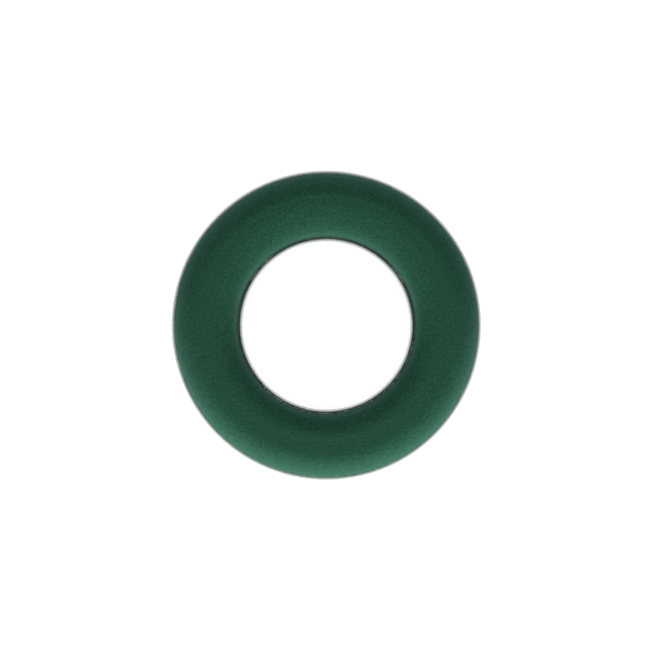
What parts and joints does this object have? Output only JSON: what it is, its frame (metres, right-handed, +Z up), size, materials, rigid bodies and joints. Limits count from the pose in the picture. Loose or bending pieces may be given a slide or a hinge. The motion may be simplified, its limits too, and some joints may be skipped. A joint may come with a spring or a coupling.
{
  "type": "floral foam ring",
  "caption": "Ring of dark green floral foam with a rounded top, glued into a shallow clear plastic tray that is open in the middle, for wreaths and table flowers.",
  "frame": {"origin": "on the ring's axis, in the plane that the tray's feet stand on", "axes": "+Z up along the ring's axis; the ring looks the same from every side, so +X and +Y only fix where the tray's ribs and the glue dabs lie"},
  "size_m": [0.25, 0.25, 0.045],
  "materials": {
    "foam": "matte",
    "clear_plastic": "gloss",
    "glue": "satin"
  },
  "bodies": {
    "root": {"foam_ring": "foam", "tray": "clear_plastic", "glue_dab_01": "glue", "glue_dab_02": "glue", "glue_dab_03": "glue", "glue_dab_04": "glue", "glue_dab_05": "glue", "glue_dab_06": "glue"}
  },
  "joints": []
}
